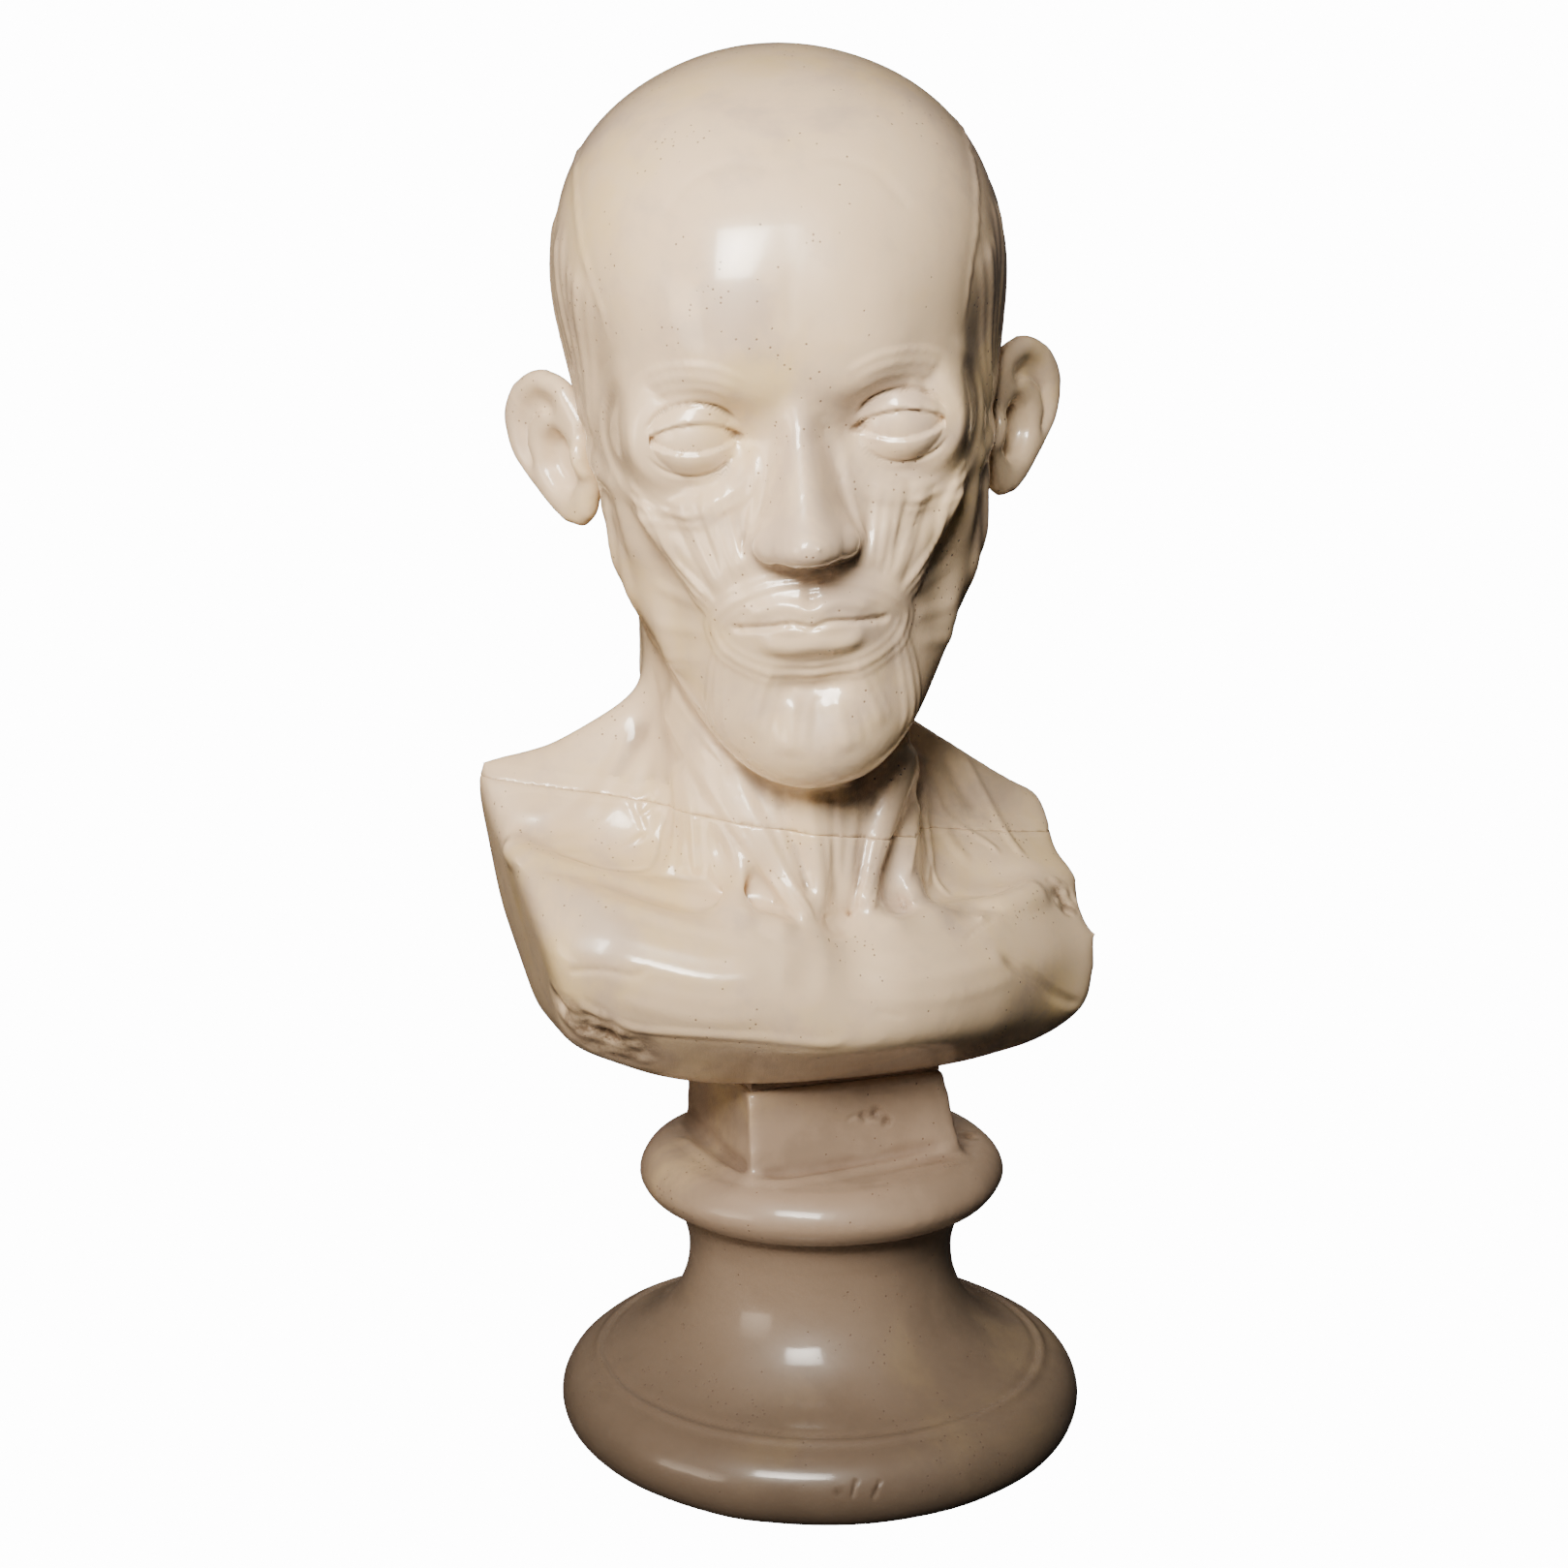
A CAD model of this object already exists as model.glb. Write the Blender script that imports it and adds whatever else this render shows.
"""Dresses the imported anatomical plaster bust: castings, ears, socle, inner pieces and stage.

Lengths in the sculpting code are millimetres in the part's own frame: +Z up, the chest's front
towards -Y, and the figure's own right side towards -X.
"""

import math
from collections import namedtuple

import bmesh
import bpy
import numpy as np
from bpy.props import FloatProperty, FloatVectorProperty, IntProperty, PointerProperty
from mathutils import Matrix, Vector, noise
from mathutils.bvhtree import BVHTree


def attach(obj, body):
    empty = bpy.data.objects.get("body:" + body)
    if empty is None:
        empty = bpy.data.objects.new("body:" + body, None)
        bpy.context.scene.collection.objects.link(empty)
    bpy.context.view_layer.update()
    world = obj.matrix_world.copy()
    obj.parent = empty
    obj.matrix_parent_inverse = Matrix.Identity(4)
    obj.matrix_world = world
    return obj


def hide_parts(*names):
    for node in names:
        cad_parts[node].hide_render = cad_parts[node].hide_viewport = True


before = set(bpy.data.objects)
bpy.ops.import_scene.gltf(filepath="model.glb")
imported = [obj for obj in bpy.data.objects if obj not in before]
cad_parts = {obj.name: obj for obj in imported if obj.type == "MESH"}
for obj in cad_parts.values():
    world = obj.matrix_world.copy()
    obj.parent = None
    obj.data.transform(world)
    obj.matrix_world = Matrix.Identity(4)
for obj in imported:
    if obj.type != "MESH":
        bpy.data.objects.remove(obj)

bl_info = {
    "name": "Anatomical Plaster Bust",
    "version": (1, 0, 0),
    "blender": (4, 5, 0),
    "location": "View3D > Sidebar > Plaster Bust",
    "description": "Sculpts and finishes a cast plaster bust around its packed pieces",
    "category": "Add Mesh",
}

MM = 0.001
BODY = "root"

# Distances that count as nothing, in metres: between points that merge, and off a cutting plane.
MERGE_DISTANCE = 0.01 * MM
CUT_DISTANCE = 1e-7

# Where the head stands on the bust, as its solid does.
HEAD_HEIGHT = 228.0
HEAD_CENTRE = (-16.0, -2.0, 394.0)
HEAD_CENTRE_SHARE = 0.62
HEAD_TURN = -18.0
HEAD_TILT = -4.0
HEAD_BOW = 8.0

# The neck's middle line, and the leaning plane where the two castings are joined.
NECK_FOOT = (-15.0, 8.0, 180.0)
NECK_HEAD = (-21.0, 8.0, 345.0)
SEAM_POINT = (-15.0, 8.0, 225.0)
SEAM_SLOPE = 8.4

# Each eye in the head's frame, and the almond between its lids.
EYE_CENTRE = (31.5, -71.8, 114.0)
EYE_RADIUS = 12.5
EYE_STRETCH = 1.15
LID_THICKNESS = 1.4
LID_HALF_WIDTH = 12.4
LID_RISE = 5.2
LID_RISE_BEND = 0.75
LID_FALL = 4.2
LID_FALL_BEND = 0.85
LID_EDGE = 0.5
LID_REACH = 7.0
LID_FADE_SHARE = 0.3
CORNER_DEPTH = 2.6

# The filled socket round each eye, with its places as shares of the lids' outer radius.
SOCKET_SLOPE = 0.42
SOCKET_DEPTH_SHARE = 0.6
SOCKET_START_SHARE = 0.8
SOCKET_FADE_SHARES = (1.75, 1.15)
RIM_START_SHARES = (0.78, 0.95)
RIM_END_SHARES = (1.8, 1.4)

# The nose's wings and nostrils in the head's frame.
NOSE_WING = (12.5, -97.0, 82.0)
NOSE_WING_RADII = (6.0, 9.0, 6.5)
NOSE_WING_RISE = 1.6
NOSTRIL = (6.8, -99.5, 76.8)
NOSTRIL_RADII = (4.0, 6.5, 4.5)
NOSTRIL_RISE = 3.6

# The rod's hole through the chest's floor, closed before the castings are sculpted.
ROD_PLACE = (-6.0, 3.0)
ROD_HOLE_RADIUS = 7.0
ROD_HOLE_SPAN = (139.0, 158.0)
ROD_HOLE_SIDES = 24

# Photographer's place: distance from the socle's axis, height, bearing and pitch of the lens.
CAMERA_DISTANCE = 765.1
CAMERA_HEIGHT = 364.6
CAMERA_BEARING = 21.0
CAMERA_YAW = -0.984
CAMERA_PITCH = 9.73
CAMERA_LENS = 51.14
CAMERA_SENSOR = 36.0
CAMERA_NEAR = 0.01
PHOTO_SIZE = 1619

# How deep the hairline over the joint of the castings is sunk.
SEAM_DEPTH = 0.28

# How far outside the bust a ray starts that looks for a place on it, and a ray round the neck.
RAY_START = 300.0
NECK_RAY_START = 75.0

# How finely a path is rounded, how a strap and a ledge fall off, and where fibres fade.
PATH_STEPS = 6
STRAP_FLAT = 0.45
LEDGE_DIP = 0.35
FIBRE_FADE = 0.6
FAR = 1e9
TINY = 1e-6

# Smoothing: how far a point goes towards its neighbours in a round, how much more is given back
# where the volume is kept, and the rounds.
RELAX_SHARE = 0.5
VOLUME_GAIN = 1.03
CROWN_ROUNDS = 70
FORM_ROUNDS = 8
PATCH_ROUNDS = 4
SCULPT_ROUNDS = 2
LID_ROUNDS = 5
EAR_ROUNDS = 36
EAR_END_ROUNDS = 20
SOCLE_ROUNDS = 3
SOCLE_PATCH_ROUNDS = 1

# Regions of the head in its own frame, each fading in from its first value to its second.
FACE_DEPTHS = (-30, -60)
FACE_FEET = (34, 54)
FACE_TOPS = (150, 138)
FACE_SIDES = (66, 52)
FACE_HELD = 0.86
JAW_TOPS = (60, 38)
JAW_SIDES = (8, 24)
JAW_DEPTHS = (10, -10)
CROWN_FEET = (122, 150)
# The foot of the head on the bust, fading in the same way.
HEAD_FEET = (300, 320)

# The part of the face that gets a finer mesh: half width, depth and heights; and how far back the
# chest's front gets one.
DETAIL_HALF_WIDTH = 51
DETAIL_FACE = -54
DETAIL_HEIGHTS = (4, 142)
DETAIL_DEPTH = 8.0

# How far the keeping of the chest's sharp edges spreads, the turn between neighbouring normals that
# counts as sharp, where the keeping fades at the crest and at the cut side, and how much is kept.
EDGE_SPREAD_ROUNDS = 3
EDGE_LEAN_RANGE = (0.10, 0.28)
CREST_HEIGHTS = (212.0, 198.0)
CUT_SIDES = (82, 90)
CUT_HEIGHTS = (258, 205)
CRISP_SHARE = 0.96

# Chips, by pixel in the photograph, reach and depth.
CHIPS = (
    (604, 1060, 15.0, 0.7),
    (640, 1078, 16.0, 0.7),
    (576, 1034, 8.0, 0.8),
    (612, 1062, 4.0, 1.2),
    (626, 1070, 5.0, 1.2),
    (578, 1038, 3.4, 1.4),
    (1098, 925, 9.0, 2.4),
)
CHIP_SCALE = 0.16
CHIP_DEPTH_SHARE = 0.5
CHIP_UNEVENNESS = 1.6
SOCLE_CHIPS = (
    (1001, 1172, 5.0, 2.2),
    (905, 1150, 3.0, 0.8),
    (893, 1153, 2.5, 0.7),
    (916, 1158, 2.5, 0.7),
    (764, 1476, 2.5, 0.9),
    (865, 1540, 2.2, 0.5),
    (905, 1538, 2.2, 0.5),
)
# Where the socle's skin is worked finely for its cracks: pixel in the photograph and reach.
SOCLE_MARKS = (
    (882, 1537, 8.0),
    (906, 1538, 8.0),
    (896, 1156, 12.0),
)

# The socle's outer skin, which alone wobbles, and the wobble.
SOCLE_SKIN_RADIUS = 30.0
SOCLE_SKIN_HEIGHT = 1.5
WOBBLE_SCALE = 0.035
WOBBLE_HEIGHT = 0.5

# How hollow a point's surroundings are: rounds of spreading, gain, and the value where it is flat.
HOLLOW_ROUNDS = 6
HOLLOW_GAIN = 6.0
HOLLOW_FLAT = 0.5

# Rings turned into the socle: radius, height, half width and rise.
SOCLE_RINGS = (
    (80.6, 28.2, 2.6, 0.8),
    (78.2, 29.4, 2.0, -1.3),
    (51.5, 85.5, 1.8, -0.8),
)

# How much the ears are filled out again, and the rounding of their outline.
EAR_FULLNESS = 0.35
OUTLINE_STEPS = 72
OUTLINE_ROUNDS = 18

# Handling and dust have browned the plaster near the foot: up to which height, and how much.
FOOT_BROWN_HEIGHT = 0.118
FOOT_BROWN_SHARE = 0.78
FOOT_BROWN = 0.30

# Blotches of varnish: how strong, how large, and the noises, as detail, roughness and distortion.
MOTTLE_AMOUNT = 0.7
MOTTLE_SCALE = 14.0
MOTTLE_FINE_SCALE = 5.3
MOTTLE_OTHER_SCALE = 1.6
MOTTLE_SHIFT = (3.7, 1.9, 5.1)
BROAD_NOISE = (5.0, 0.6, 0.4)
OTHER_NOISE = (5.0, 0.6, 0.3)
FINE_NOISE = (4.0, 0.65)
YELLOW_RAMP = (0.50, 0.68)
GREY_RAMP = (0.48, 0.66)
SPECK_RAMP = (0.52, 0.72)
SPECK_SHARE = 0.25

# Pinholes: their scale and share, how a dot fades, and where they cluster.
PORE_SCALE = 500.0
PORE_SHARE = 0.75
PORE_RAMP = (0.10, 0.24, 1.0, 0.0)
PORE_CLUSTER_NOISE = (32.0, 4.0, 0.65)
PORE_CLUSTER_RAMP = (0.46, 0.74)
PORE_GRIME = 0.8
PORE_DEPTH = 0.9

# Waviness of the varnish: noises with their scale first, and how high each stands.
WAVE_NOISE = (90.0, 3.0, 0.5)
WAVE_HEIGHT = 0.6
GRAIN_NOISE = (420.0, 4.0, 0.6)
GRAIN_HEIGHT = 0.22
SURFACE_BUMP = 0.35
SURFACE_BUMP_DEPTH = 0.5

# Grime in the hollows, wear on what stands proud, soil on the chips, and how the gloss varies.
DEEP_RAMP = (0.56, 0.86, 0.0, 0.62)
DEEP_ROUGHNESS = 0.3
PROUD_RAMP = (0.42, 0.20, 0.0, 0.25)
PROUD_GAIN = 1.18
PATCHY_NOISE = (26.0, 5.0, 0.65)
PATCHY_RAMP = (0.35, 0.62, 0.45, 1.0)
SOIL_NOISE = (150.0, 5.0, 0.7)
SOIL_RAMP = (0.40, 0.62, 0.15, 0.85)
GLOSS_NOISE = (34.0, 4.0, 0.6)
GLOSS_RANGE = (0.3, 0.7)
GLOSS_SHARES = (0.75, 1.3)
COAT_ROUGHNESS = 0.11
GLOW_WEIGHT = 0.06
GLOW_RADIUS = (1.0, 0.7, 0.45)
GLOW_DEPTH = 2.0

# Roughness and coat of the bust's plaster and of the socle's, and how far the socle's tones lean.
BUST_GLOSS = (0.38, 0.75)
SOCLE_GLOSS = (0.44, 0.6)
SOCLE_YELLOW_SHARE = 0.5
SOCLE_GREY_SHARE = 0.75

# Finishes inside the bust: colour, roughness, metallic, bump, and the pieces that have them.
INNER_FINISHES = {
    "Raw Plaster": ((0.36, 0.26, 0.18), 0.9, 0.0, 0.35, ("neck_plug", "plaster_bed")),
    "Plaster Scrim": ((0.62, 0.58, 0.50), 0.95, 0.0, 0.6, ("neck_joint_bandage", "crossbar_pads")),
    "Black Iron": ((0.045, 0.042, 0.04), 0.55, 1.0, 0.25,
                   ("armature_rod", "chest_crossbar", "crossbar_nut", "socle_washer", "socle_nut")),
    "Brass Wire": ((0.55, 0.38, 0.14), 0.35, 1.0, 0.1, ("left_ear_pin", "right_ear_pin")),
    "Beech": ((0.46, 0.29, 0.15), 0.6, 0.0, 0.3, ("block_dowels",)),
}
INNER_NOISE = (60.0, 5.0, 0.6)
INNER_DARK_SHARE = 0.7
INNER_BUMP_DEPTH = 0.6

# The studio, in metres and watts.
FLOOR_HALF = 3.0
FLOOR_SHARE = 0.03
FLOOR_ROUGHNESS = 0.9
WHITE = (1.0, 1.0, 1.0, 1.0)
LIGHT_AIM = (-0.03, -0.03, 0.36)
LIGHT_SPREAD = 58.0
WORLD_FILL = 0.05
WORLD_TINT = (1.0, 0.86, 0.74)
BACKDROP_GLOW = 14.0
LIGHTS = {
    "key": ((-0.51, -0.75, 0.79), (0.46, 0.34), 3.25, (1.0, 0.94, 0.85)),
    "side": ((-1.05, -0.30, 0.34), (0.50, 0.50), 0.7, (1.0, 0.82, 0.64)),
    "back": ((0.38, 0.95, 0.70), (0.80, 0.60), 1.6, (1.0, 0.93, 0.86)),
}
# Lights that lift the shade without a reflection of their own.
MATT_LIGHTS = ("back",)


class BustSizes(bpy.types.PropertyGroup):
    """Sizes that set how finely the plaster is worked."""
    form_grain: FloatProperty(name="Form Grain", description="Edge of the sculpting mesh",
                              default=1.75 * MM, min=0.5 * MM, unit="LENGTH")
    ear_grain: FloatProperty(name="Ear Grain", description="Edge of the ears' sculpting mesh",
                             default=0.8 * MM, min=0.3 * MM, unit="LENGTH")
    socle_grain: FloatProperty(name="Socle Grain", description="Edge of the socle's mesh",
                               default=1.5 * MM, min=0.5 * MM, unit="LENGTH")
    soften_rounds: IntProperty(name="Soften Rounds", description="Passes that round off the form",
                               default=60, min=0, max=400)


class BustTones(bpy.types.PropertyGroup):
    """Colours of the old plaster and its varnish."""
    plaster: FloatVectorProperty(name="Plaster", description="Plaster under clear varnish",
                                 subtype="COLOR", size=3, default=(0.72, 0.55, 0.365))
    yellowed: FloatVectorProperty(name="Yellowed", description="Plaster under pooled old varnish",
                                  subtype="COLOR", size=3, default=(0.72, 0.53, 0.25))
    greyed: FloatVectorProperty(name="Greyed", description="Plaster where the varnish is thin",
                                subtype="COLOR", size=3, default=(0.52, 0.40, 0.31))
    grime: FloatVectorProperty(name="Grime", description="Dirt in the hollows and pinholes",
                               subtype="COLOR", size=3, default=(0.13, 0.075, 0.045))
    socle: FloatVectorProperty(name="Socle", description="The warmer, duller plaster of the socle",
                               subtype="COLOR", size=3, default=(0.36, 0.26, 0.185))
    floor: FloatVectorProperty(name="Floor", description="Pale studio floor",
                               subtype="COLOR", size=3, default=(0.86, 0.85, 0.84))


def head_matrix():
    """From the head's own frame, chin's foot at height zero and face towards -Y, to the bust's."""
    turned = (Matrix.Rotation(math.radians(HEAD_TURN), 4, "Z")
              @ Matrix.Rotation(math.radians(HEAD_TILT), 4, "Y")
              @ Matrix.Rotation(math.radians(HEAD_BOW), 4, "X"))
    lift = Matrix.Translation((0, 0, -HEAD_CENTRE_SHARE * HEAD_HEIGHT))
    return Matrix.Translation(HEAD_CENTRE) @ turned @ lift


HEAD = head_matrix()
INTO_HEAD = HEAD.inverted()
HEAD_AXES = np.array(INTO_HEAD.to_3x3())
HEAD_SHIFT = np.array(INTO_HEAD.translation)


def seam_normal():
    """The direction square to the joint of the two castings, pointing up."""
    slope = math.radians(SEAM_SLOPE)
    return Vector((math.sin(slope), 0, math.cos(slope)))


def new_object(name, mesh):
    """A linked object at the origin that holds the mesh."""
    obj = bpy.data.objects.new(name, mesh)
    bpy.context.scene.collection.objects.link(obj)
    return obj


def bmesh_of_nodes(names):
    """One bmesh with merged copies of the named solids."""
    bm = bmesh.new()
    for name in names:
        bm.from_mesh(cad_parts[name].data)
    bmesh.ops.remove_doubles(bm, verts=bm.verts, dist=MERGE_DISTANCE)
    return bm


def remeshed(name, bm, grain):
    """An object with the outer skin of a bmesh, in even squares of the grain."""
    mesh = bpy.data.meshes.new(name)
    bm.to_mesh(mesh)
    bm.free()
    rough = new_object(name + "_rough", mesh)
    modifier = rough.modifiers.new("Even Skin", "REMESH")
    modifier.mode = "VOXEL"
    modifier.voxel_size = grain
    modifier.adaptivity = 0.0
    modifier.use_smooth_shade = True
    bpy.context.view_layer.update()
    graph = bpy.context.evaluated_depsgraph_get()
    even = bpy.data.meshes.new_from_object(rough.evaluated_get(graph))
    bpy.data.objects.remove(rough)
    bpy.data.meshes.remove(mesh)
    bm = bmesh.new()
    bm.from_mesh(even)
    keep_largest_skin(bm)
    bm.to_mesh(even)
    bm.free()
    even.name = name
    return new_object(name, even)


def keep_largest_skin(bm):
    """Deletes every separate skin of a bmesh but the largest, such as a sealed hollow's."""
    bm.verts.index_update()
    seen = np.zeros(len(bm.verts), bool)
    groups = []
    for start in bm.verts:
        if seen[start.index]:
            continue
        seen[start.index] = True
        group, front = [start], [start]
        while front:
            vert = front.pop()
            for edge in vert.link_edges:
                other = edge.other_vert(vert)
                if not seen[other.index]:
                    seen[other.index] = True
                    group.append(other)
                    front.append(other)
        groups.append(group)
    groups.sort(key=len)
    for group in groups[:-1]:
        bmesh.ops.delete(bm, geom=group, context="VERTS")


def fine_patch(obj, chosen):
    """Halves the edges of the faces whose centres the test chooses."""
    bm = bmesh.new()
    bm.from_mesh(obj.data)
    faces = [face for face in bm.faces if chosen(face.calc_center_median())]
    edges = list({edge for face in faces for edge in face.edges})
    bmesh.ops.subdivide_edges(bm, edges=edges, cuts=1, use_grid_fill=True)
    bm.to_mesh(obj.data)
    bm.free()


def smooth_step(low, high, value):
    """Rises smoothly from 0 at the low end to 1 at the high end."""
    t = np.clip((value - low) / (high - low), 0.0, 1.0)
    return t * t * (3.0 - 2.0 * t)


def rounded_path(points):
    """A smooth path through hand-placed points."""
    points = np.array([tuple(point) for point in points], float)
    if len(points) < 3:
        share = np.linspace(0, 1, PATH_STEPS * 2 + 1)[:, None]
        return points[0] * (1 - share) + points[-1] * share
    padded = np.vstack([2 * points[0] - points[1], points, 2 * points[-1] - points[-2]])
    out = []
    for a, b, c, d in zip(padded, padded[1:], padded[2:], padded[3:]):
        for t in np.arange(PATH_STEPS) / PATH_STEPS:
            out.append(0.5 * (2 * b + (c - a) * t + (2 * a - 5 * b + 4 * c - d) * t ** 2
                              + (3 * b - a - 3 * c + d) * t ** 3))
    out.append(points[-1])
    return np.array(out)


# How a stroke's height falls from its middle to its edge: t runs from 0 to 1, and side is the
# place across the stroke, from -1 to 1.
PROFILES = {
    "mound": lambda t, side: (1 - t ** 2) ** 2,
    "crease": lambda t, side: (1 - t) ** 2,
    "strap": lambda t, side: 1 - smooth_step(STRAP_FLAT, 1.0, t),
    "ledge": lambda t, side: np.where(side > 0, (1 - t) ** 1.5, -LEDGE_DIP * (1 - t) ** 3),
}


class Clay:
    """A mesh that strokes and swellings push about, like clay under a tool."""

    def __init__(self, obj):
        self.obj = obj
        self.crisp = np.zeros(0)
        self.read()

    def read(self):
        """Takes the points, edges and normals of the mesh."""
        mesh = self.obj.data
        count = len(mesh.vertices)
        self.co = np.empty(count * 3)
        mesh.vertices.foreach_get("co", self.co)
        self.co = self.co.reshape(-1, 3) / MM
        edges = np.empty(len(mesh.edges) * 2, np.int32)
        mesh.edges.foreach_get("vertices", edges)
        self.edges = edges.reshape(-1, 2)
        self.neighbours = np.bincount(self.edges.ravel(), minlength=count)[:, None]
        self.crisp = np.concatenate([self.crisp, np.zeros(count - len(self.crisp))])
        self.soil = np.zeros(count)
        self.settle()

    def settle(self):
        """Writes the points back and takes the new normals, for the strokes that follow."""
        mesh = self.obj.data
        mesh.vertices.foreach_set("co", (self.co * MM).ravel())
        mesh.update()
        normals = np.empty(len(mesh.vertices) * 3)
        mesh.vertex_normals.foreach_get("vector", normals)
        self.normals = normals.reshape(-1, 3)
        self.tree = None

    def keep(self, name, values):
        """Keeps one value on each point of the mesh under a name."""
        mesh = self.obj.data
        attribute = mesh.attributes.get(name) or mesh.attributes.new(name, "FLOAT", "POINT")
        attribute.data.foreach_set("value", values.astype(np.float32))

    def around(self, values):
        """The mean of the values at each point's neighbours."""
        a, b = self.edges.T
        columns = values.reshape(len(values), -1)
        total = np.stack([np.bincount(a, column[b], len(values))
                          + np.bincount(b, column[a], len(values)) for column in columns.T], 1)
        return total / self.neighbours

    def relax(self, rounds, where=None, keep_volume=False):
        """Smooths the form, with no shrinking when the volume is kept."""
        weight = np.ones((len(self.co), 1)) if where is None else where[:, None]
        weight = weight * (1 - CRISP_SHARE * self.crisp[:, None])
        for _ in range(rounds):
            self.co += weight * RELAX_SHARE * (self.around(self.co) - self.co)
            if keep_volume:
                back = weight * RELAX_SHARE * VOLUME_GAIN
                self.co -= back * (self.around(self.co) - self.co)
        self.settle()

    def hit(self, origin, direction):
        """The point where a ray first meets the form, or None."""
        if self.tree is None:
            mesh = self.obj.data
            polygons = [tuple(polygon.vertices) for polygon in mesh.polygons]
            self.tree = BVHTree.FromPolygons([tuple(point) for point in self.co], polygons)
        return self.tree.ray_cast(Vector(origin), Vector(direction))[0]

    def near(self, low, high):
        """The points inside a box."""
        return np.flatnonzero(np.all((self.co > low) & (self.co < high), axis=1))

    def stroke(self, path, mark):
        """Draws a ridge or, with a negative rise, a furrow along a path on the surface."""
        widths = mark.width if isinstance(mark.width, tuple) else (mark.width,)
        widest = max(widths)
        chosen = self.near(path.min(0) - widest, path.max(0) + widest)
        if not len(chosen):
            return
        points = self.co[chosen]
        starts, spans = path[:-1], np.diff(path, axis=0)
        lengths = np.linalg.norm(spans, axis=1)
        total = lengths.sum()
        before = np.concatenate([[0], np.cumsum(lengths)[:-1]])
        best = np.full(len(points), FAR)
        along = np.zeros(len(points))
        offset = np.zeros((len(points), 3))
        tangent = np.zeros((len(points), 3))
        for start, span, length, done in zip(starts, spans, lengths, before):
            if length < TINY:
                continue
            share = np.clip((points - start) @ span / length ** 2, 0, 1)
            away = points - (start + share[:, None] * span)
            distance = np.linalg.norm(away, axis=1)
            closer = distance < best
            best[closer] = distance[closer]
            along[closer] = (done + share[closer] * length) / total
            offset[closer] = away[closer]
            tangent[closer] = span / length
        half = np.interp(along, np.linspace(0, 1, len(widths)), widths)
        across = np.cross(self.normals[chosen], tangent)
        side = np.einsum("ij,ij->i", offset, across) / half
        t = best / half
        inside = t < 1
        height = mark.rise * PROFILES[mark.profile](np.clip(t, 0, 1), side)
        if mark.fibres:
            height += (mark.fibre_rise * np.cos(math.pi * mark.fibres * side)
                       * (1 - smooth_step(FIBRE_FADE, 1.0, t)))
        if mark.ends > 0:
            height *= smooth_step(0, mark.ends, along) * smooth_step(0, mark.ends, 1 - along)
        chosen, height = chosen[inside], height[inside]
        self.co[chosen] += self.normals[chosen] * height[:, None]

    def swell(self, centre, radii, rise, axes, direction=None):
        """Raises a soft oval swelling round a place, or pushes one in a direction."""
        centre = np.array(tuple(centre))
        radii = np.array(radii, float)
        reach = radii.max()
        chosen = self.near(centre - reach, centre + reach)
        local = (self.co[chosen] - centre) @ np.array([tuple(axis) for axis in axes]).T
        t = np.linalg.norm(local / radii, axis=1)
        height = rise * (1 - np.clip(t, 0, 1) ** 2) ** 2
        push = self.normals[chosen] if direction is None else np.array(tuple(direction))
        self.co[chosen] += push * height[:, None]


class Projector:
    """Finds places on the bust's surface from the few numbers that a sculptor would call out."""

    def __init__(self, clay):
        self.clay = clay

    def path(self, finder, points, side):
        """A smooth path on the surface through places that the finder understands."""
        rough = rounded_path([(side * a, b, 0) for a, b in points])
        found = [finder(a, b) for a, b, _ in rough]
        return np.array([tuple(point) for point in found if point is not None])

    def face(self, across, up):
        """A place on the face by its distance from the middle and its height over the chin."""
        direction = HEAD.to_3x3() @ Vector((0, 1, 0))
        return self.clay.hit(HEAD @ Vector((across, -RAY_START, up)), direction)

    def skull(self, bearing, up):
        """A place round the head by its bearing from the face, in degrees, and its height."""
        angle = math.radians(bearing)
        out = Vector((math.sin(angle), -math.cos(angle), 0))
        return self.clay.hit(HEAD @ (out * RAY_START + Vector((0, 0, up))), HEAD.to_3x3() @ -out)

    def neck(self, bearing, height):
        """A place round the neck by its bearing from the front and its height on the bust."""
        foot, head = Vector(NECK_FOOT), Vector(NECK_HEAD)
        axis = foot + (head - foot) * ((height - foot.z) / (head.z - foot.z))
        angle = math.radians(bearing)
        out = Vector((math.sin(angle), -math.cos(angle), 0))
        return self.clay.hit(Vector((axis.x, axis.y, height)) + out * NECK_RAY_START, -out)

    def lens(self, right, down):
        """A place that the photographer sees, by its pixel in the photograph."""
        bearing = math.radians(CAMERA_BEARING + CAMERA_YAW)
        pitch = math.radians(CAMERA_PITCH)
        ahead = Vector((math.sin(bearing) * math.cos(pitch), math.cos(bearing) * math.cos(pitch),
                        -math.sin(pitch)))
        across = Vector((math.cos(bearing), -math.sin(bearing), 0))
        upward = across.cross(ahead)
        focal = CAMERA_LENS / CAMERA_SENSOR * PHOTO_SIZE
        aim = ahead * focal + across * (right - PHOTO_SIZE / 2) + upward * (PHOTO_SIZE / 2 - down)
        return self.clay.hit(lens_place() / MM, aim.normalized())


def lens_place():
    """Where the photographer's lens stands, in metres."""
    bearing = math.radians(CAMERA_BEARING)
    return Vector((-math.sin(bearing) * CAMERA_DISTANCE, -math.cos(bearing) * CAMERA_DISTANCE,
                   CAMERA_HEIGHT)) * MM


Stroke = namedtuple("Stroke", "finder points width rise profile ends fibres fibre_rise",
                    defaults=("mound", 0.25, 0, 0.0))

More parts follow.
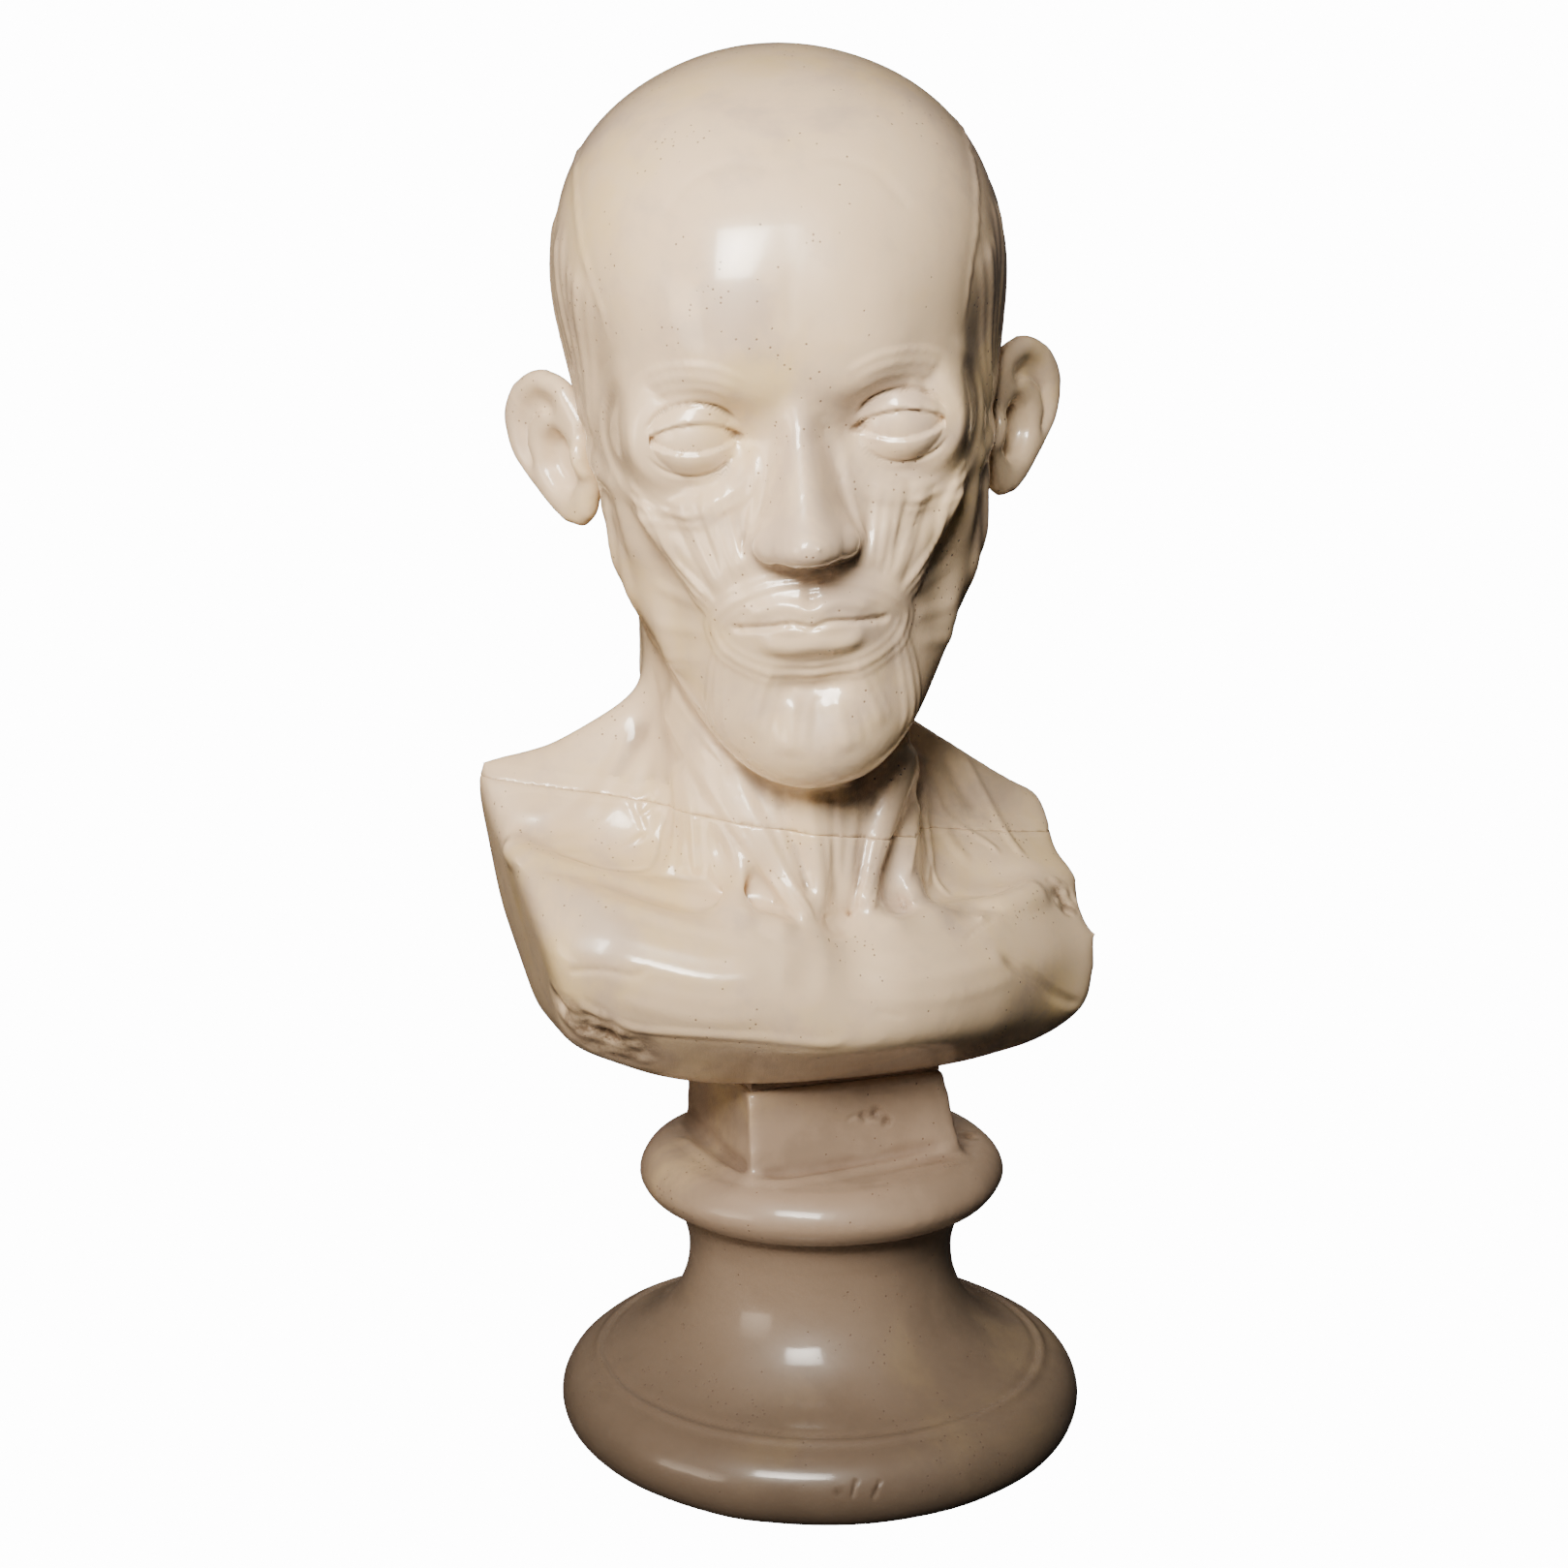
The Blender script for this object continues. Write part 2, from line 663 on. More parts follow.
# Strokes on the head, drawn for both sides. On the face a place is given by its distance from the
# middle and its height over the chin, in millimetres; on the skull by its bearing from the face in
# degrees and its height.
HEAD_STROKES = (
    # Forehead muscle, with its upper edge under the scalp's flat tendon
    Stroke("face", ((15, 134), (18, 158), (17, 184)), 19, 0.5, "mound", 0.15),
    Stroke("face", ((1, 190), (14, 193), (28, 188), (38, 176)), 1.8, -0.9, "crease", 0.1),
    # Temple muscle, fanning up from the cheekbone's arch
    Stroke("skull", ((63, 108), (58, 140), (52, 164)), (5, 10, 12), 0.9, "mound", 0.1, 3, 0.32),
    Stroke("skull", ((67, 108), (68, 140), (70, 176)), (5, 10, 13), 1.0, "mound", 0.1, 3, 0.32),
    Stroke("skull", ((71, 108), (79, 140), (88, 180)), (5, 10, 13), 0.9, "mound", 0.1, 3, 0.32),
    Stroke("skull", ((74, 108), (90, 136), (108, 168)), (5, 9, 12), 0.8, "mound", 0.1, 3, 0.32),
    Stroke("skull", ((40, 138), (46, 162), (62, 188), (90, 198), (118, 186), (132, 160)),
           3.2, 1.0, "ledge", 0.1),
    # Ring muscle of the eye
    Stroke("face", ((13, 108), (20, 98), (33, 94), (47, 99), (53, 111), (50, 124), (40, 132),
                    (26, 133), (15, 128)), 7.0, 0.8, "mound", 0.06, 4, 0.26),
    Stroke("face", ((20, 99), (33, 91), (50, 94), (60, 108), (58, 126), (48, 138)),
           5.5, 0.7, "mound", 0.12, 3, 0.26),
    # Arch of the cheekbone
    Stroke("skull", ((44, 96), (58, 99), (74, 103), (88, 104)), 5.0, 1.3, "mound", 0.15),
    # Lifters of the lip and the corner of the mouth
    Stroke("face", ((13, 112), (14, 98), (17, 84), (19, 72)), (3.4, 4.0, 4.8), 0.9, "mound", 0.15,
           2, 0.14),
    Stroke("face", ((27, 100), (25, 86), (21, 70)), (6.6, 5.6, 4.8), 1.1, "strap", 0.2, 3, 0.26),
    Stroke("face", ((38, 98), (32, 82), (25, 66)), (4.8, 4.4, 4.0), 1.2, "strap", 0.2, 2, 0.26),
    Stroke("face", ((52, 96), (42, 78), (29, 60)), (6.0, 5.6, 5.0), 1.6, "strap", 0.2, 3, 0.30),
    # Chewing muscle of the jaw, in two layers
    Stroke("skull", ((55, 92), (59, 62), (64, 36)), (15, 16, 13), 1.5, "mound", 0.10, 4, 0.36),
    Stroke("skull", ((72, 96), (73, 72), (76, 50)), (9, 9, 8), 1.0, "mound", 0.15, 2, 0.3),
    # Trumpeter's muscle behind the mouth, as level fibres in the hollow of the cheek
    Stroke("face", ((32, 62), (42, 63), (50, 66)), 3.4, 0.45, "mound", 0.25),
    Stroke("face", ((32, 54), (42, 52), (50, 52)), 3.4, 0.45, "mound", 0.25),
    Stroke("face", ((32, 46), (41, 42), (48, 40)), 3.4, 0.4, "mound", 0.25),
    # Ring muscle of the mouth
    Stroke("face", ((0, 70), (12, 69), (24, 64), (30, 56), (25, 47), (13, 42), (0, 41)), 5.4, 0.6,
           "mound", 0.0, 3, 0.16),
    # Pullers of the corner and the lower lip, and the chin's muscle
    Stroke("face", ((27, 53), (30, 38), (31, 24), (28, 14)), (4.0, 6.4, 8.0, 8.0), 0.8, "mound",
           0.2, 4, 0.18),
    Stroke("face", ((12, 46), (17, 32), (21, 20)), (5.0, 6.0, 7.0), 0.6, "mound", 0.2, 3, 0.16),
    Stroke("face", ((6, 35), (8, 24), (9, 14)), 7.5, 1.2, "mound", 0.25, 3, 0.12),
    # Furrow beside the nose's wing
    Stroke("face", ((16, 88), (19, 82), (18.5, 74)), 1.8, -1.1, "crease", 0.2),
    # Hinder muscle of the scalp, and the nape's ridge
    Stroke("skull", ((158, 132), (156, 108), (155, 88)), 15, 1.2, "strap", 0.12, 5, 0.30),
    Stroke("skull", ((180, 90), (160, 84), (140, 80), (124, 82)), 4.0, 1.1, "mound", 0.1),
)

# Folds over and under the lids, drawn once the eyes are set.
LID_STROKES = (
    Stroke("face", ((17, 117), (23, 123.0), (32, 125.0), (41, 122.5), (47, 116)), 1.8, -1.1,
           "crease", 0.15),
    Stroke("face", ((18, 110), (24, 104.5), (32, 102.5), (41, 104.5), (47, 110)), 1.8, -0.7,
           "crease", 0.2),
    Stroke("face", ((15.6, 113.2), (18.6, 113.8)), 1.6, -0.6, "mound", 0.2),
)

# Strokes across the middle of the head, drawn once.
MIDDLE_STROKES = (
    Stroke("face", ((-25, 56), (-14, 57.2), (-6, 58.2), (0, 56.8), (6, 58.2), (14, 57.2), (25, 56)),
           1.9, -2.0, "crease", 0.06),
    Stroke("face", ((0, 164), (0, 152), (0, 142)), 2.0, -0.4, "mound", 0.3),
    Stroke("face", ((0, 72), (0, 66), (0, 62)), 3.2, -0.9, "mound", 0.2),
    Stroke("face", ((-15, 39), (0, 36.5), (15, 39)), 3.5, -0.8, "mound", 0.3),
    Stroke("face", ((-21, 60.5), (-9, 64), (0, 62.5), (9, 64), (21, 60.5)), 3.4, 0.9, "mound",
           0.15),
    Stroke("face", ((-18, 52.5), (-8, 50.5), (0, 51), (8, 50.5), (18, 52.5)), 4.4, 1.3, "mound",
           0.2),
)

# Strokes on the neck and the chest's front, each placed by its pixels in the photograph.
PHOTO_STROKES = (
    # Collarbones, and the soft ledges under them
    Stroke("lens", ((520, 872), (570, 890), (622, 906), (684, 922), (744, 936), (792, 952),
                    (824, 968)), (9, 8, 7, 7, 8, 9, 7), 2.4, "mound", 0.06),
    Stroke("lens", ((604, 930), (658, 948), (704, 962), (748, 972), (792, 981)), 4.0, -0.6, "mound",
           0.4),
    Stroke("lens", ((900, 956), (940, 952), (990, 938), (1036, 930), (1082, 918)),
           (7, 8, 8, 8, 8), 2.2, "mound", 0.1),
    # Pits over the collarbones, and between the heads of the straps
    Stroke("lens", ((566, 858), (606, 868), (646, 872), (672, 870)), (10, 15, 15, 8), -2.0, "mound",
           0.45),
    Stroke("lens", ((968, 892), (1000, 902), (1034, 900), (1066, 888)), (8, 12, 12, 8), -1.9,
           "mound", 0.45),
    Stroke("lens", ((944, 830), (926, 876), (912, 916), (904, 944)), (4, 6, 8, 7), -2.4, "mound",
           0.45),
    Stroke("lens", ((730, 842), (742, 876), (752, 906), (760, 928)), (2.4, 4.6, 6.6, 7.0), -1.7,
           "mound", 0.40),
    # Strap from behind the ear to the breastbone, then its flat second head to the collarbone
    Stroke("lens", ((688, 718), (716, 762), (748, 808), (780, 864), (813, 918), (839, 957)),
           (9, 9.5, 8.5, 7, 5, 3.4), 2.0, "strap", 0.06, 3, 0.16),
    Stroke("lens", ((700, 786), (708, 840), (707, 884), (704, 910)), (6, 7, 9, 11), 1.5, "strap",
           0.14, 4, 0.16),
    Stroke("lens", ((948, 772), (921, 830), (904, 880), (893, 944)), (8, 7.5, 6, 3.6), 2.2,
           "strap", 0.06, 3, 0.16),
    Stroke("lens", ((959, 778), (943, 813), (922, 860), (909, 884), (902, 914), (896, 948)), 1.6,
           0.8, "mound", 0.08),
    # Rear border of the strap, running round over the collarbone
    Stroke("lens", ((672, 690), (683, 734), (690, 787), (690, 829), (681, 862), (676, 886),
                    (662, 898), (626, 896), (586, 882)), 1.9, -0.9, "crease", 0.06),
    # Slips of the deep muscles that cross the pits
    Stroke("lens", ((579, 880), (617, 877), (649, 871), (672, 858)), 1.8, 0.8, "mound", 0.15),
    Stroke("lens", ((644, 808), (658, 838), (668, 860)), 1.6, 0.9, "mound", 0.2),
    Stroke("lens", ((654, 834), (668, 820), (686, 811)), 2.2, 0.9, "mound", 0.2),
    Stroke("lens", ((660, 846), (674, 834), (688, 828)), 1.6, 0.7, "mound", 0.2),
    Stroke("lens", ((957, 796), (956, 830), (957, 866), (966, 908), (984, 928)), 1.8, 0.9,
           "mound", 0.12),
    Stroke("lens", ((962, 806), (968, 826), (982, 848), (1016, 868), (1036, 884)), 1.8, 0.9,
           "mound", 0.12),
    Stroke("lens", ((948, 830), (944, 868), (936, 914)), 3.4, 1.0, "mound", 0.15, 2, 0.2),
    Stroke("lens", ((954, 836), (960, 878), (956, 918)), 2.4, 0.8, "mound", 0.15),
    Stroke("lens", ((970, 840), (984, 872), (1010, 896)), 3.8, 0.6, "mound", 0.3),
    # Edge of the cape muscle on both sides
    Stroke("lens", ((668, 730), (640, 790), (606, 838), (560, 856), (520, 852)), 7.0, -1.3,
           "mound", 0.15),
    Stroke("lens", ((986, 764), (1002, 794), (1020, 828), (1042, 866), (1060, 888)), 3.0, 1.0,
           "mound", 0.15),
    Stroke("lens", ((972, 776), (990, 812), (1012, 846)), 5.0, -1.0, "mound", 0.2),
    # Windpipe and the slim muscles over it
    Stroke("lens", ((834, 812), (842, 872), (852, 948)), 3.6, 1.0, "mound", 0.15),
    Stroke("lens", ((860, 812), (862, 872), (862, 944)), 2.2, -0.9, "mound", 0.15),
    Stroke("lens", ((886, 812), (880, 872), (872, 950)), 3.2, 0.9, "mound", 0.15),
    Stroke("lens", ((802, 812), (818, 866), (838, 930)), 3.0, -1.6, "mound", 0.15),
    Stroke("lens", ((912, 812), (898, 866), (886, 930)), 2.4, -1.2, "mound", 0.15),
    Stroke("lens", ((844, 948), (862, 958), (884, 950)), 6.5, -1.3, "mound", 0.4),
    # Breast: the groove of the breastbone and the slips of the breast muscles
    Stroke("lens", ((822, 962), (834, 984), (831, 1010), (822, 1040)), 8.0, -1.0, "mound", 0.4),
    Stroke("lens", ((800, 1004), (740, 1012), (676, 1000), (622, 984)), 12.0, 0.9, "mound", 0.2,
           3, 0.14),
    Stroke("lens", ((806, 1044), (740, 1052), (676, 1040), (624, 1024)), 9.0, 0.6, "mound", 0.2,
           2, 0.12),
    Stroke("lens", ((582, 1003), (622, 1002), (655, 1007), (678, 996)), 2.2, -0.8, "crease", 0.15),
    Stroke("lens", ((870, 1000), (930, 1010), (990, 1004), (1050, 984)), 12.0, 0.9, "mound", 0.2,
           3, 0.14),
    Stroke("lens", ((1026, 982), (1063, 1006), (1088, 1027), (1122, 1042)), 3.4, -1.3, "mound",
           0.15),
    Stroke("lens", ((902, 1044), (936, 1051)), 1.8, -0.5, "crease", 0.2),
    Stroke("lens", ((994, 972), (1012, 958), (1030, 946)), 1.4, -0.5, "crease", 0.2),
    # Proud rim along the foot of the breast
    Stroke("lens", ((586, 1020), (606, 1042), (630, 1052), (660, 1063), (724, 1068), (786, 1072),
                    (850, 1078), (880, 1074)), 3.0, 0.7, "mound", 0.1),
)

# Marks on the socle, placed by their pixels in the photograph.
SOCLE_STROKES = (
    # Smears of plaster where the block meets the cushion
    Stroke("lens", ((700, 1172), (745, 1206), (792, 1222), (850, 1216), (930, 1200), (1004, 1182)),
           3.2, 1.4, "mound", 0.06),
    # Shallow ring on the cushion's shoulder
    Stroke("lens", ((690, 1196), (740, 1216), (800, 1226), (870, 1226), (940, 1216), (996, 1196)),
           1.5, -0.6, "crease", 0.1),
    # Cracks in the block's front, and a hairline on the cushion
    Stroke("lens", ((872, 1160), (886, 1151), (897, 1157), (908, 1148), (920, 1154)), 1.2, -0.7,
           "crease", 0.1),
    Stroke("lens", ((786, 1214), (795, 1228), (806, 1236)), 1.2, -0.5, "crease", 0.1),
    Stroke("lens", ((885, 1527), (882, 1537), (880, 1547)), 1.1, -1.1, "crease", 0.1),
    Stroke("lens", ((909, 1528), (906, 1538), (901, 1548)), 1.1, -1.1, "crease", 0.1),
)

# Strokes round the back, by bearing from the front in degrees and height, drawn for both sides.
BACK_STROKES = (
    # Cape muscle, in slips that run down and outwards from the nape
    Stroke("neck", ((168, 318), (164, 290), (156, 262)), 11, 1.4, "strap", 0.12, 4, 0.4),
    Stroke("neck", ((140, 318), (134, 290), (124, 266)), 10, 1.3, "strap", 0.12, 4, 0.4),
    Stroke("neck", ((180, 322), (180, 280), (180, 240)), 3.2, -1.6, "mound", 0.15),
)


class PLASTER_OT_bust(bpy.types.Operator):
    """Sculpts the head and the chest as one skin, and parts them along their joint."""
    bl_idname = "plaster.bust"
    bl_label = "Head and Chest"

    def execute(self, context):
        sizes = context.scene.bust_sizes
        bm = bmesh_of_nodes(["head_cast", "chest_cast"])
        plug_rod_hole(bm)
        skin = remeshed("bust_skin", bm, sizes.form_grain)
        clay = Clay(skin)
        soften_form(clay, sizes.soften_rounds)
        fine_patch(skin, wants_detail)
        clay.read()
        clay.relax(PATCH_ROUNDS)
        sculpt(clay)
        part_castings(skin)
        bpy.data.objects.remove(skin)
        return {"FINISHED"}


def plug_rod_hole(bm):
    """Closes the rod's hole, so that no hollow joins the outer skin."""
    low, high = ROD_HOLE_SPAN
    x, y = ROD_PLACE
    place = Matrix.Translation(Vector((x, y, (low + high) / 2)) * MM)
    radius = ROD_HOLE_RADIUS * MM
    bmesh.ops.create_cone(bm, cap_ends=True, segments=ROD_HOLE_SIDES, radius1=radius,
                          radius2=radius, depth=(high - low) * MM, matrix=place)


def soften_form(clay, rounds):
    """Rounds the planes of the blocked-out form, least where its cut edges stay crisp."""
    across, depth, up = (clay.co @ HEAD_AXES.T + HEAD_SHIFT).T
    face = (smooth_step(*FACE_DEPTHS, depth) * smooth_step(*FACE_FEET, up)
            * smooth_step(*FACE_TOPS, up) * smooth_step(*FACE_SIDES, np.abs(across)))
    jaw = (smooth_step(*JAW_TOPS, up) * smooth_step(*JAW_SIDES, np.abs(across))
           * smooth_step(*JAW_DEPTHS, depth))
    crown = smooth_step(*CROWN_FEET, up)
    head = smooth_step(*HEAD_FEET, clay.co[:, 2])
    clay.crisp = chest_edge_share(clay)
    clay.relax(rounds, 1 - FACE_HELD * face * head)
    clay.relax(rounds, jaw * head)
    clay.relax(CROWN_ROUNDS, crown * head)
    clay.relax(FORM_ROUNDS, keep_volume=True)


def chest_edge_share(clay):
    """How far each point lies by a sharp edge of the chest: its crest, keel or cut sides."""
    lean = np.linalg.norm(clay.around(clay.normals) - clay.normals, axis=1)[:, None]
    for _ in range(EDGE_SPREAD_ROUNDS):
        lean = np.maximum(lean, clay.around(lean))
    sharp = smooth_step(*EDGE_LEAN_RANGE, lean[:, 0])
    low = smooth_step(*CREST_HEIGHTS, clay.co[:, 2])
    side = (smooth_step(*CUT_SIDES, NECK_FOOT[0] - clay.co[:, 0])
            * smooth_step(*CUT_HEIGHTS, clay.co[:, 2]))
    return sharp * np.clip(low + side, 0, 1)


def wants_detail(centre):
    """Whether a point in metres is on the face or the chest's front, which need a finer mesh."""
    place = centre / MM
    across, depth, up = INTO_HEAD @ place
    low, high = DETAIL_HEIGHTS
    if abs(across) < DETAIL_HALF_WIDTH and depth < DETAIL_FACE and low < up < high:
        return True
    return place.y < DETAIL_DEPTH and (place - Vector(SEAM_POINT)).dot(seam_normal()) < 0


def sculpt(clay):
    """Draws the muscles, bones and lines, in layers that each follow the last."""
    find = Projector(clay)
    draw(clay, find, HEAD_STROKES, (-1, 1))
    clay.settle()
    draw(clay, find, PHOTO_STROKES, (1,))
    draw(clay, find, BACK_STROKES, (-1, 1))
    draw(clay, find, MIDDLE_STROKES, (1,))
    clay.relax(SCULPT_ROUNDS)
    set_lids(clay)
    clay.settle()
    draw(clay, find, LID_STROKES, (-1, 1))
    open_nostrils(clay)
    clay.settle()
    chip(clay, CHIPS)
    clay.keep("soil", clay.soil)
    clay.settle()


def set_lids(clay):
    """Turns each eye into a true ball between two lids."""
    local = clay.co @ HEAD_AXES.T + HEAD_SHIFT
    reach = EYE_RADIUS + LID_THICKNESS
    socket_fade = [share * reach for share in SOCKET_FADE_SHARES]
    rim_start = [share * reach for share in RIM_START_SHARES]
    rim_end = [share * reach for share in RIM_END_SHARES]
    rims = []
    for side in (-1, 1):
        across = (side * local[:, 0] - EYE_CENTRE[0]) / EYE_STRETCH
        up = local[:, 2] - EYE_CENTRE[2]
        near = (across ** 2 + up ** 2 < reach ** 2) & (local[:, 1] < EYE_CENTRE[1])
        span = 1 - np.clip(across / LID_HALF_WIDTH, -1, 1) ** 2
        inside = np.minimum(LID_RISE * span ** LID_RISE_BEND - up,
                            up + LID_FALL * span ** LID_FALL_BEND)
        lid = smooth_step(LID_EDGE, -LID_EDGE, inside)
        radius = EYE_RADIUS + LID_THICKNESS * lid
        depth = np.sqrt(np.clip(radius ** 2 - across ** 2 - up ** 2, 1.0, None))
        out = np.hypot(across, up)
        skirt = (EYE_CENTRE[1] - SOCKET_DEPTH_SHARE * reach
                 + SOCKET_SLOPE * np.clip(out - SOCKET_START_SHARE * reach, 0, None))
        fill = smooth_step(*socket_fade, out) * (local[:, 1] < 0)
        local[:, 1] += fill * (np.minimum(local[:, 1], skirt) - local[:, 1])
        hold = near * smooth_step(-LID_REACH, -LID_REACH * LID_FADE_SHARE, inside)
        ball = EYE_CENTRE[1] - depth
        skin = local[:, 1]
        goal = (lid * np.minimum(ball, skin)
                + (1 - lid) * np.minimum(ball, skin + CORNER_DEPTH))
        local[:, 1] += hold * (goal - skin)
        rim = smooth_step(*rim_start, out) * smooth_step(*rim_end, out)
        rims.append(rim * (local[:, 1] < 0))
    clay.co = (local - HEAD_SHIFT) @ HEAD_AXES
    clay.relax(LID_ROUNDS, np.clip(sum(rims), 0, 1))


def open_nostrils(clay):
    """Rounds the nose's wings and sinks a nostril under each."""
    axes = [HEAD.to_3x3() @ Vector(axis) for axis in ((1, 0, 0), (0, 1, 0), (0, 0, 1))]
    for side in (-1, 1):
        x, y, z = NOSE_WING
        clay.swell(HEAD @ Vector((side * x, y, z)), NOSE_WING_RADII, NOSE_WING_RISE, axes)
        x, y, z = NOSTRIL
        clay.swell(HEAD @ Vector((side * x, y, z)), NOSTRIL_RADII, NOSTRIL_RISE, axes, axes[2])


def draw(clay, find, strokes, sides):
    """Draws a table of strokes, mirrored where it names both sides."""
    for mark in strokes:
        finder = getattr(find, mark.finder)
        for side in sides:
            path = find.path(finder, mark.points, side)
            if len(path) > 1:
                clay.stroke(path, mark)


def chip(clay, chips):
    """Breaks small rough hollows into the plaster, each placed by its pixel in the photograph."""
    find = Projector(clay)
    for right, down, reach, depth in chips:
        place = find.lens(right, down)
        if place is None:
            continue
        chosen = clay.near(np.array(place) - reach, np.array(place) + reach)
        t = np.linalg.norm(clay.co[chosen] - np.array(place), axis=1) / reach
        clay.soil[chosen] = np.maximum(clay.soil[chosen], 1 - np.clip(t, 0, 1) ** 2)
        rough = np.array([noise.noise(Vector(point) * CHIP_SCALE) for point in clay.co[chosen]])
        sink = depth * (1 - np.clip(t, 0, 1) ** 2) * (CHIP_DEPTH_SHARE + CHIP_UNEVENNESS * rough)
        clay.co[chosen] -= clay.normals[chosen] * sink[:, None]


def part_castings(skin):
    """Cuts the skin along the joint into the two closed castings."""
    normal = seam_normal()
    point = Vector(SEAM_POINT) * MM
    for name, sign in (("head_cast", 1), ("chest_cast", -1)):
        bm = bmesh.new()
        bm.from_mesh(skin.data)
        geometry = bm.verts[:] + bm.edges[:] + bm.faces[:]
        bmesh.ops.bisect_plane(bm, geom=geometry, dist=CUT_DISTANCE, plane_co=point,
                               plane_no=normal * sign, clear_inner=True)
        rim = [edge for edge in bm.edges if edge.is_boundary]
        sink_rim(bm, rim, normal)
        bmesh.ops.holes_fill(bm, edges=rim, sides=0)
        bmesh.ops.triangulate(bm, faces=[face for face in bm.faces if len(face.verts) > 4])
        bmesh.ops.recalc_face_normals(bm, faces=bm.faces)
        finish_piece(bm, name, plaster())


def sink_rim(bm, rim, normal):
    """Draws the rim of a cut in a little, within the cut's plane, as a hairline round the joint."""
    bm.normal_update()
    for vert in {vert for edge in rim for vert in edge.verts}:
        inward = vert.normal - normal * vert.normal.dot(normal)
        vert.co -= inward * SEAM_DEPTH * MM


def finish_skin(skin, node, material):
    """Turns a sculpted skin into the piece that stands for a node."""
    bm = bmesh.new()
    bm.from_mesh(skin.data)
    bpy.data.objects.remove(skin)
    finish_piece(bm, node, material)


def finish_piece(bm, node, material):
    """Turns a bmesh into the piece that stands for a node, with its material and hollows."""
    mesh = bpy.data.meshes.new(node + "_sculpt")
    bm.to_mesh(mesh)
    bm.free()
    mesh.shade_smooth()
    obj = new_object(node + "_sculpt", mesh)
    record_hollows(obj)
    mesh.materials.append(material)
    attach(obj, BODY)
    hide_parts(node)


def record_hollows(obj):
    """Keeps on each point how hollow or how proud its surroundings are, for grime and wear."""
    clay = Clay(obj)
    lean = clay.around(clay.co) - clay.co
    bend = np.einsum("ij,ij->i", lean, clay.normals)[:, None]
    for _ in range(HOLLOW_ROUNDS):
        bend = clay.around(bend)
    clay.keep("hollow", np.clip(bend[:, 0] * HOLLOW_GAIN + HOLLOW_FLAT, 0, 1))


class PLASTER_OT_ears(bpy.types.Operator):
    """Softens the two ears that are set on the head."""
    bl_idname = "plaster.ears"
    bl_label = "Ears"

    def execute(self, context):
        grain = context.scene.bust_sizes.ear_grain
        for name in ("left_ear", "right_ear"):
            ear = remeshed(name + "_skin", bmesh_of_nodes([name]), grain)
            clay = Clay(ear)
            clay.relax(EAR_ROUNDS)
            round_outline(clay)
            clay.co += clay.normals * EAR_FULLNESS
            clay.relax(EAR_END_ROUNDS, keep_volume=True)
            finish_skin(ear, name, plaster())
        return {"FINISHED"}


def round_outline(clay):
    """Rounds the corners of a thin form's outline, as seen along its thinnest direction."""
    middle = clay.co.mean(0)
    widest_axes = np.linalg.svd(clay.co - middle, full_matrices=False)[2][:2]
    flat = (clay.co - middle) @ widest_axes.T
    reach = np.hypot(flat[:, 0], flat[:, 1])
    step = (np.arctan2(flat[:, 1], flat[:, 0]) / math.tau + 0.5) * OUTLINE_STEPS
    edge = np.zeros(OUTLINE_STEPS)
    np.maximum.at(edge, step.astype(int) % OUTLINE_STEPS, reach)
    soft = edge.copy()
    for _ in range(OUTLINE_ROUNDS):
        soft = (np.roll(soft, 1) + 2 * soft + np.roll(soft, -1)) / 4
    centres = np.arange(OUTLINE_STEPS) + 0.5
    edge_there = np.interp(step, centres, edge, period=OUTLINE_STEPS)
    soft_there = np.interp(step, centres, soft, period=OUTLINE_STEPS)
    gain = (soft_there / edge_there - 1) * np.clip(reach / edge_there, 0, 1) ** 2
    clay.co += (flat * gain[:, None]) @ widest_axes
    clay.settle()


class PLASTER_OT_socle(bpy.types.Operator):
    """Weathers the socle and its block."""
    bl_idname = "plaster.socle"
    bl_label = "Socle"

    def execute(self, context):
        grain = context.scene.bust_sizes.socle_grain
        socle = remeshed("socle_skin", bmesh_of_nodes(["socle_cast"]), grain)
        clay = Clay(socle)
        clay.relax(SOCLE_ROUNDS)
        find = Projector(clay)
        marks = [(find.lens(right, down), reach) for right, down, reach in SOCLE_MARKS]
        fine_patch(socle, lambda centre: any((centre / MM - place).length < reach
                                             for place, reach in marks))
        clay.read()
        clay.relax(SOCLE_PATCH_ROUNDS)
        wear_socle(clay)
        clay.relax(SOCLE_PATCH_ROUNDS)
        finish_skin(socle, "socle_cast", socle_plaster())
        return {"FINISHED"}


def wear_socle(clay):
    """Wobbles the turned form as hand work does, and adds the marks, smears and chips."""
    find = Projector(clay)
    turn_rings(clay)
    draw(clay, find, SOCLE_STROKES, (1,))
    chip(clay, SOCLE_CHIPS)
    clay.keep("soil", clay.soil)
    outside = np.hypot(clay.co[:, 0], clay.co[:, 1]) > SOCLE_SKIN_RADIUS
    outside &= clay.co[:, 2] > SOCLE_SKIN_HEIGHT
    chosen = np.flatnonzero(outside)
    wave = np.array([noise.noise(Vector(point) * WOBBLE_SCALE) for point in clay.co[chosen]])
    clay.co[chosen] += clay.normals[chosen] * (WOBBLE_HEIGHT * wave)[:, None]
    clay.settle()


def turn_rings(clay):
    """Cuts the fine grooves and raises the fine rims that a lathe leaves round the socle."""
    radius = np.hypot(clay.co[:, 0], clay.co[:, 1])
    for ring, height, width, rise in SOCLE_RINGS:
        t = np.clip(np.hypot(radius - ring, clay.co[:, 2] - height) / width, 0, 1)
        clay.co += clay.normals * (rise * (1 - t ** 2) ** 2)[:, None]


